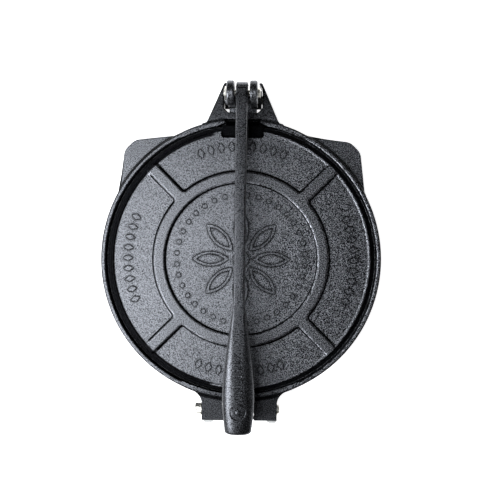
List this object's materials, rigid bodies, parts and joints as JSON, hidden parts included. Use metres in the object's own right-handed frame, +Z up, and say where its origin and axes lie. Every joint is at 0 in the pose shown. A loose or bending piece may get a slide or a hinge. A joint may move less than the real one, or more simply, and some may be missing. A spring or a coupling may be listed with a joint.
{
  "type": "tortilla press",
  "caption": "Cast-iron press with a round rimmed base on rubber pads, a hinged ribbed plate, and an arched lever in a tipping fork.",
  "frame": {"origin": "middle of the whole press, on the surface that the four rubber pads stand on", "axes": "+Y from the plate's hinge to the lever's fork, +Z up, +X to the right when the grip points to the viewer"},
  "size_m": [0.254, 0.3144, 0.0771],
  "materials": {
    "iron": "seasoned semi-gloss black, fine sand-cast grain",
    "zinc": "bright zinc plating",
    "rubber": "pale grey, matt"
  },
  "bodies": {
    "base": {"base": "iron", "fork_pin": "zinc", "hinge_bolt": "zinc", "hinge_washer": "zinc", "hinge_nut": "zinc", "foot_pad_front_left": "rubber", "foot_pad_front_right": "rubber", "foot_pad_rear_left": "rubber", "foot_pad_rear_right": "rubber"},
    "top_plate": {"top_plate": "iron"},
    "fork": {"fork": "iron", "lever_bolt": "zinc", "lever_nut": "zinc"},
    "lever": {"lever": "iron"}
  },
  "joints": [
    {"name": "fork_swing", "type": "hinge", "parent": "base", "child": "fork", "pos_m": [0, 0.1426, 0.0145], "axis": [-1, 0, 0], "range_deg": [0, 20]},
    {"name": "lever_swing", "type": "hinge", "parent": "fork", "child": "lever", "pos_m": [0, 0.1426, 0.057], "axis": [-1, 0, 0], "range_deg": [0, 168]},
    {"name": "plate_hinge", "type": "hinge", "parent": "base", "child": "top_plate", "pos_m": [0, -0.1404, 0.022], "axis": [1, 0, 0], "range_deg": [0, 105]}
  ],
  "couplings": [
    {"joint": "plate_hinge", "follows": "lever_swing", "ratio": 0.1}
  ]
}
